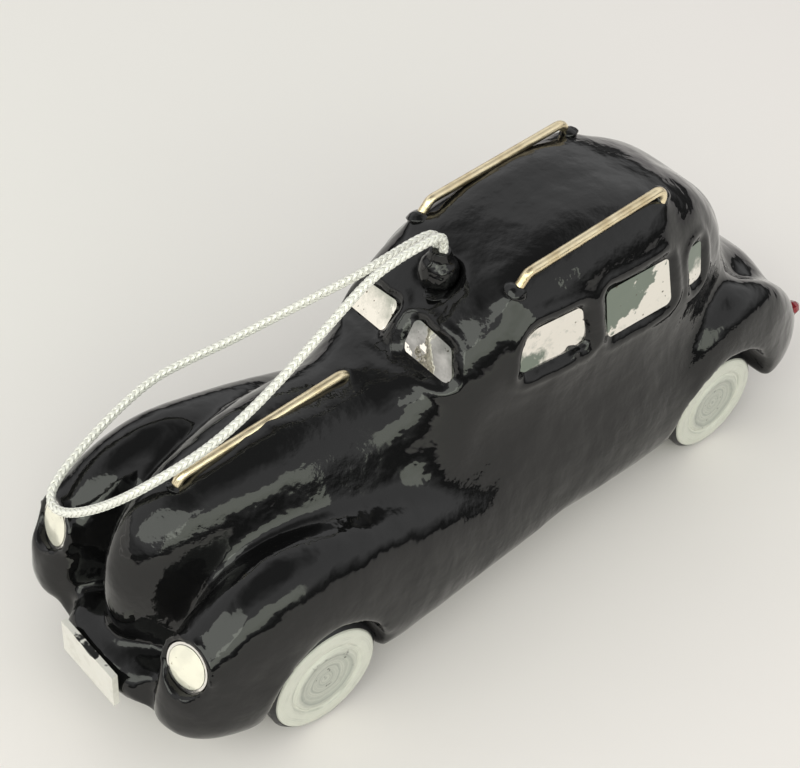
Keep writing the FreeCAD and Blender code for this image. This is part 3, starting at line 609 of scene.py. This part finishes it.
def lacquer_drop(name, tip, half_sizes, seed):
    """A lump of pooled lacquer on the moulding, where it is nearest to the given tip.

    half_sizes are its half length, half width and half height, in millimetres.
    """
    length, width, height = (half * MM for half in half_sizes)
    _, seat, normal, _ = BODY.closest_point_on_mesh(Vector(tip))
    forward = (Vector((1, 0, 0)) - normal * normal.x).normalized()
    axes = Matrix((forward, normal.cross(forward), normal)).transposed()
    drop = bmesh.new()
    bmesh.ops.create_icosphere(drop, subdivisions=4, radius=1.0)
    for vert in drop.verts:
        way = vert.co.copy()
        swell = 1 + DROP_SWELL * lumpy(way, seed)
        skirt = 1 + DROP_SKIRT * math.exp(-((way.z / SKIRT_HEIGHT) ** 2))
        local = Vector((way.x * length * skirt, way.y * width * skirt, way.z * height)) * swell
        vert.co = seat + axes @ local
    mesh = bpy.data.meshes.new(name)
    drop.to_mesh(mesh)
    drop.free()
    finished(mesh, name, LACQUER, "car")


def lacquer_drops():
    """The lumps over the ends of the two roof rails and the bonnet rod."""
    back, inward = np.array((-1.0 * MM, 0, 0)), np.array((0, 0.4 * MM, 0))
    for side, sign, seed in (("left", 1, 1), ("right", -1, 4)):
        front, rear = rod_ends(f"roof_rail_{side}")
        front, rear = front + back - inward * sign, rear - inward * sign
        lacquer_drop(f"rail_drop_front_{side}", front, (1.9, 1.7, 1.15), seed)
        lacquer_drop(f"rail_drop_rear_{side}", rear, (1.8, 1.7, 1.2), seed + 1)
    front, rear = rod_ends("bonnet_rod")
    lacquer_drop("bonnet_drop_front", front, (1.2, 1.2, 0.6), 7)
    lacquer_drop("bonnet_drop_rear", rear, (1.7, 1.5, 1.1), 8)


lacquer_drops()


KNOB_PASSES = 6
KNOB_UPWARD_SHARE = 0.4

# How far below the knob's top its lumps begin, and where they are full
KNOB_CROWN = (0.2 * MM, 1.6 * MM)
KNOB_LUMPS_PER_MM = 0.5
KNOB_LUMP_HEIGHT = 0.2
KNOB_SEED = 5
POOL_FORWARD, POOL_LEFT = 1.6 * MM, 1.8 * MM


def lumpy_knob():
    """The knob with the small lumps of several coats, and lacquer pooled at its foot."""
    knob = mesh_copy("hanging_knob", "knob_lumps")
    even_skin(knob, KNOB_VOXEL)
    mesh = knob.data
    soften(mesh, np.ones(len(mesh.vertices)), KNOB_PASSES)
    place = vertices_of(mesh)
    low, high = (np.array(corner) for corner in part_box("hanging_knob"))
    middle = (low + high) / 2
    outward = place - middle
    outward[:, 2] *= KNOB_UPWARD_SHARE
    outward /= np.linalg.norm(outward, axis=1)[:, None]
    crown = ramp(high[2] - place[:, 2], *KNOB_CROWN)
    lumps = np.array([lumpy(p / MM * KNOB_LUMPS_PER_MM, KNOB_SEED) for p in place])
    lumps *= KNOB_LUMP_HEIGHT * MM
    place += outward * (lumps * crown)[:, None]
    mesh.vertices.foreach_set("co", place.ravel())
    shade_smooth(mesh)
    paint(knob, LACQUER)
    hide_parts("hanging_knob")
    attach(knob, "car")
    foot = (middle[0] + POOL_FORWARD, middle[1] + POOL_LEFT, low[2])
    lacquer_drop("knob_pool", foot, (2.0, 1.8, 0.5), 11)


lumpy_knob()


def disc(name, rows, centre):
    """A closed disc from rings of points, the smallest first, with a flat back."""
    made = bmesh.new()
    rows = [[made.verts.new(point) for point in row] for row in rows]
    middle = made.verts.new(centre)
    count = len(rows[0])
    for k in range(count):
        after = (k + 1) % count
        made.faces.new((middle, rows[0][k], rows[0][after]))
        for one, two in zip(rows, rows[1:]):
            made.faces.new((one[k], two[k], two[after], one[after]))
    made.faces.new(rows[-1][::-1])
    bmesh.ops.recalc_face_normals(made, faces=made.faces)
    mesh = bpy.data.meshes.new(name)
    made.to_mesh(mesh)
    made.free()
    return mesh


LAMP_RINGS = 24
LAMP_POINTS = 96

# How far a disc's edge stands in front of the plain one, and its dome over that, in millimetres
LAMP_EDGE = 0.42
LAMP_DOME = 0.06

# How far behind the foremost point of a plain disc its front still counts
FLATNESS = 0.01 * MM


def domed_lamps():
    """Slightly domed silver discs in the rims of the headlamps."""
    for side in ("left", "right"):
        node = f"headlamp_{side}"
        points = vertices_of(nodes[node].data)
        out = broad_normal(node)
        if out.x < 0:
            out.negate()
        heights = points @ np.array(out)
        front = points[heights > heights.max() - FLATNESS]
        centre = Vector(front.mean(axis=0))
        reach = float(np.linalg.norm(front - np.array(centre), axis=1).max())
        across = Vector((0, 0, 1)).cross(out).normalized()
        up = out.cross(across)
        angles = [2 * math.pi * k / LAMP_POINTS for k in range(LAMP_POINTS)]
        ways = [across * math.cos(angle) + up * math.sin(angle) for angle in angles]
        rows = []
        for ring in range(1, LAMP_RINGS + 1):
            share = ring / LAMP_RINGS
            rise = (LAMP_EDGE + LAMP_DOME * (1 - share ** 2)) * MM
            rows.append([centre + out * rise + way * reach * share for way in ways])
        mesh = disc(node + "_dome", rows, centre + out * (LAMP_EDGE + LAMP_DOME) * MM)
        piece = finished(mesh, node + "_dome", LAMP_DISC, "car")
        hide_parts(node)


domed_lamps()


# Wheel faces: a flat painted rim, a groove and a raised, brushed hub

# Radius and depth in millimetres, from the centre to the back of the rim
WHEEL_PROFILE = [
    (0.0, -0.42), (1.6, -0.40), (3.2, -0.36), (4.2, -0.30), (4.9, -0.10), (5.3, 0.02),
    (5.75, -0.02), (6.05, -0.30), (6.3, -0.42), (6.6, -0.36), (6.9, -0.12), (7.3, -0.04),
    (8.2, 0.0), (9.0, -0.06), (9.4, -0.25), (9.55, -0.6), (9.57, -1.5),
]
PROFILE_RADII, PROFILE_DEPTHS = zip(*WHEEL_PROFILE)
WHEEL_RINGS = 61
WHEEL_POINTS = 144
WHEEL_SINK = 0.08

# Where the roughness of the paint ends and over how much it fades, in millimetres
PAINTED_RADIUS = 9.5
ROUGH_FADE = 0.8

# Its coarse and fine parts: how many to a millimetre, and how high
WHEEL_ROUGHNESS = ((0.8, 0.10), (2.2, 0.04))

# A factor that draws each side's roughness from a layer of noise of its own
SIDE_SHIFT = 99


def wheel_row(radius, middle_x, middle_z, outer, sign):
    """One ring of a wheel face, uneven as brushed paint is."""
    depth = np.interp(radius, PROFILE_RADII, PROFILE_DEPTHS)
    edge = min(1.0, (PAINTED_RADIUS - radius) / ROUGH_FADE) if radius < PAINTED_RADIUS else 0.0
    row = []
    for point in range(WHEEL_POINTS):
        angle = 2 * math.pi * point / WHEEL_POINTS
        x, z = math.cos(angle) * radius, math.sin(angle) * radius
        rough = sum(noise.noise(Vector((x * count, z * count, outer * SIDE_SHIFT))) * height
                    for count, height in WHEEL_ROUGHNESS)
        out = outer + sign * (depth - WHEEL_SINK + rough * edge) * MM
        row.append((middle_x + x * MM, out, middle_z + z * MM))
    return row


def wheel_faces():
    """Painted faces that stand for the four plain ones."""
    corners = range(len(WHEEL_PROFILE))
    radii = np.interp(np.linspace(0, corners[-1], WHEEL_RINGS), corners, PROFILE_RADII)
    for end in ("front", "rear"):
        low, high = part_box(f"tyre_{end}_left")
        middle_x, middle_z = (low[0] + high[0]) / 2, (low[2] + high[2]) / 2
        material = wheel_paint(f"white wheel {end}", middle_x, middle_z)
        for side, sign in (("left", 1), ("right", -1)):
            node = f"wheel_face_{end}_{side}"
            low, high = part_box(node)
            outer = high[1] if sign > 0 else low[1]
            rows = [wheel_row(radius, middle_x, middle_z, outer, sign) for radius in radii[1:]]
            centre = (middle_x, outer + sign * (PROFILE_DEPTHS[0] - WHEEL_SINK) * MM, middle_z)
            mesh = disc(node + "_painted", rows, centre)
            piece = finished(mesh, node + "_painted", material, f"{end}_wheelset")
            mesh.polygons[len(mesh.polygons) - 1].use_smooth = False
            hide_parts(node)


wheel_faces()


# The braided hanging loop

CORD_DIAMETER = 1.5 * MM
CORD_ROUTE = [
    (8.4, -0.9, 60.6), (8.4, -0.9, 62.4), (9.9, -1.2, 63.4), (13.2, -1.7, 62.8),
    (17.2, -2.5, 61.3), (21.4, -4.7, 58.2), (25.6, -7.7, 54.8), (30.6, -11.7, 50.2),
    (36.4, -15.4, 45.8), (42.2, -18.7, 42.4), (47.4, -20.5, 40.2), (53.0, -20.6, 37.9),
    (58.4, -20.3, 35.3), (63.0, -19.6, 33.1), (66.6, -18.7, 31.5), (69.0, -17.4, 30.4),
    (69.9, -15.3, 29.9), (69.4, -12.6, 30.6), (67.9, -9.5, 32.6), (65.7, -6.2, 35.5),
    (63.0, -3.0, 39.1), (59.6, -0.7, 42.2), (55.3, 0.5, 44.2), (50.6, 0.7, 45.6),
    (45.2, 0.7, 47.9), (39.4, 0.5, 50.9), (33.0, 0.3, 54.9), (27.0, 0.2, 58.9),
    (22.2, 0.3, 62.0), (17.6, 0.7, 63.6), (13.2, 1.0, 64.3), (9.9, 0.9, 64.3),
    (8.4, 0.7, 62.7), (8.4, 0.7, 60.6),
]
STRANDS_EACH_WAY = 6
STRAND_SIDES = 6
STRAND_HALF_WIDTH = 0.30 * MM
STRAND_HALF_THICKNESS = 0.11 * MM
WEAVE_RISE = 0.09 * MM
WEAVE_SHARPNESS = 2
BRAID_PITCH = 6.2 * MM
BRAID_STEP = 0.2 * MM


def cord_line():
    """Points of the route's NURBS spline."""
    curve = bpy.data.curves.new("loop route", "CURVE")
    curve.dimensions = "3D"
    curve.resolution_u = 24
    spline = curve.splines.new("NURBS")
    spline.points.add(len(CORD_ROUTE) - 1)
    for point, (x, y, z) in zip(spline.points, CORD_ROUTE):
        point.co = (x * MM, y * MM, z * MM, 1.0)
    spline.order_u = 3
    spline.use_endpoint_u = True
    carrier = bpy.data.objects.new("loop route", curve)
    line = bpy.data.meshes.new_from_object(carrier)
    points = vertices_of(line)
    bpy.data.meshes.remove(line)
    bpy.data.objects.remove(carrier)
    bpy.data.curves.remove(curve)
    return points


def evenly(points, step):
    """The same line at even steps, and how far along it each point is."""
    runs = np.linalg.norm(np.diff(points, axis=0), axis=1)
    along = np.concatenate([[0], np.cumsum(runs)])
    count = int(along[-1] / step) + 1
    wanted = np.linspace(0, along[-1], count)
    return np.stack([np.interp(wanted, along, points[:, k]) for k in range(3)], axis=1), wanted


def carried_frames(points):
    """Two directions across the line at each point, turned as little as possible along it."""
    tangent = np.gradient(points, axis=0)
    tangent /= np.linalg.norm(tangent, axis=1)[:, None]
    side = np.cross(tangent[0], (0, 1, 0))
    side /= np.linalg.norm(side)
    sides = [side]
    for t in tangent[1:]:
        side = side - t * side.dot(t)
        side /= np.linalg.norm(side)
        sides.append(side)
    sides = np.array(sides)
    return sides, np.cross(tangent, sides)


def braid():
    """Flat strands wound both ways round a core.

    At the places where they cross they pass over, level, under and level in turn, so at every
    second crossing the two strands run through each other.
    """
    route = cord_line()
    points, along = evenly(route, BRAID_STEP)
    side, other = carried_frames(points)
    ribbons = bmesh.new()
    turn = 2 * math.pi / STRANDS_EACH_WAY
    middle = CORD_DIAMETER / 2 - STRAND_HALF_THICKNESS - WEAVE_RISE
    corners = [2 * math.pi * k / STRAND_SIDES for k in range(STRAND_SIDES)]
    for way in (1, -1):
        for strand in range(STRANDS_EACH_WAY):
            angle = way * 2 * math.pi * along / BRAID_PITCH + strand * turn
            weave = way * np.tanh(WEAVE_SHARPNESS * np.cos(STRANDS_EACH_WAY / 2 * angle))
            radius = middle + WEAVE_RISE * weave
            out = np.cos(angle)[:, None] * side + np.sin(angle)[:, None] * other
            centre = points + out * radius[:, None]
            path = np.gradient(centre, axis=0)
            path /= np.linalg.norm(path, axis=1)[:, None]
            flat = np.cross(path, out)
            flat /= np.linalg.norm(flat, axis=1)[:, None]
            rows = []
            for corner in corners:
                line = (centre + flat * (math.cos(corner) * STRAND_HALF_WIDTH)
                        + out * (math.sin(corner) * STRAND_HALF_THICKNESS))
                rows.append([ribbons.verts.new(p) for p in line])
            for one, two in zip(rows, rows[1:] + rows[:1]):
                for i in range(len(points) - 1):
                    ribbons.faces.new((one[i], one[i + 1], two[i + 1], two[i]))
            ribbons.faces.new([row[0] for row in rows])
            ribbons.faces.new([row[-1] for row in rows[::-1]])
    mesh = bpy.data.meshes.new("cord_braid")
    bmesh.ops.recalc_face_normals(ribbons, faces=ribbons.faces)
    ribbons.to_mesh(mesh)
    ribbons.free()
    piece = finished(mesh, "cord_braid", braid_thread(), "car")
    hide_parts("cord_loop")


braid()


# Floor, light and camera

FLOOR_REACH = 3


def pale_floor():
    """A plain pale card under the model."""
    mesh = bpy.data.meshes.new("floor")
    signs = [(-1, -1), (1, -1), (1, 1), (-1, 1)]
    mesh.from_pydata([(x * FLOOR_REACH, y * FLOOR_REACH, 0) for x, y in signs], [], [(0, 1, 2, 3)])
    floor = bpy.data.objects.new("floor", mesh)
    bpy.context.scene.collection.objects.link(floor)
    s = Shader("pale card")
    tint = s.range(s.noise(2.2, 2.0), 0.35, 0.65)
    s.link(s.mix(tint, rgb(0.87, 0.815, 0.81), rgb(0.86, 0.83, 0.80)), "Base Color")
    s.set(Roughness=0.7)
    s.bumps((s.noise(60, 3.0), 0.0001))
    paint(floor, s.material)


LIGHT_TARGET = Vector((0, 0, 0.03))


def soft_window(name, azimuth, elevation, distance, width, height, radiance, colour):
    """A window-like lamp, as bright as written, that faces the model from a direction."""
    around, above = math.radians(azimuth), math.radians(elevation)
    toward = Vector((math.cos(above) * math.cos(around), math.cos(above) * math.sin(around),
                     math.sin(above)))
    lamp = bpy.data.lights.new(name, "AREA")
    lamp.shape = "RECTANGLE"
    lamp.size, lamp.size_y = width, height
    lamp.energy = radiance * math.pi * width * height
    lamp.color = colour
    holder = bpy.data.objects.new(name, lamp)
    holder.location = toward * distance
    aim = LIGHT_TARGET - holder.location
    holder.rotation_euler = aim.to_track_quat("-Z", "Y").to_euler()
    bpy.context.scene.collection.objects.link(holder)


# How bright the room is at each height of a direction: 0 is level, 1 straight up
ROOM_LEVELS = [(0.08, 0.08), (0.35, 0.92), (0.78, 0.88), (0.95, 0.20)]


def room_light():
    """A pale room, darker near the floor and straight overhead."""
    world = bpy.data.worlds.new("room")
    bpy.context.scene.world = world
    world.use_nodes = True
    tree = world.node_tree
    background = tree.nodes["Background"]
    direction = tree.nodes.new("ShaderNodeTexCoord").outputs["Generated"]
    split = tree.nodes.new("ShaderNodeSeparateXYZ")
    tree.links.new(direction, split.inputs[0])
    ramp_node = tree.nodes.new("ShaderNodeValToRGB")
    tree.links.new(split.outputs["Z"], ramp_node.inputs["Fac"])
    stops = ramp_node.color_ramp.elements
    for height, _ in ROOM_LEVELS[2:]:
        stops.new(height)
    for stop, (height, level) in zip(stops, ROOM_LEVELS):
        stop.position = height
        stop.color = rgb(level, level, level)
    tree.links.new(ramp_node.outputs["Color"], background.inputs["Color"])


# The photograph's viewpoint, with lens and sensor in millimetres
CAMERA_PLACE = Vector((0.15356, 0.14282, 0.22266))
CAMERA_RIGHT = Vector((-0.75625, 0.65098, 0.06569))
CAMERA_UP = Vector((-0.41094, -0.55071, 0.72653))
CAMERA_LENS = 76.78
SENSOR_WIDTH = 36
NEAREST_SEEN = 0.01


def camera():
    """The camera at the photograph's viewpoint."""
    lens = bpy.data.cameras.new("camera")
    lens.lens = CAMERA_LENS
    lens.sensor_width = SENSOR_WIDTH
    lens.clip_start = NEAREST_SEEN
    holder = bpy.data.objects.new("camera", lens)
    right = CAMERA_RIGHT.normalized()
    back = right.cross(CAMERA_UP).normalized()
    up = back.cross(right)
    turn = Matrix((right, up, back)).transposed()
    holder.matrix_world = Matrix.Translation(CAMERA_PLACE) @ turn.to_4x4()
    bpy.context.scene.collection.objects.link(holder)
    bpy.context.scene.camera = holder


pale_floor()
room_light()
soft_window("side window", azimuth=75, elevation=25, distance=0.9, width=1.05, height=0.36,
            radiance=2.1, colour=(0.93, 1.0, 0.82))
soft_window("front window", azimuth=20, elevation=42, distance=1.0, width=1.2, height=0.55,
            radiance=2.2, colour=(0.95, 1.0, 0.88))
soft_window("front card", azimuth=-30, elevation=3, distance=1.0, width=1.2, height=0.3,
            radiance=0.95, colour=(1.0, 0.97, 0.90))
camera()
bpy.context.scene.view_settings.view_transform = "Standard"
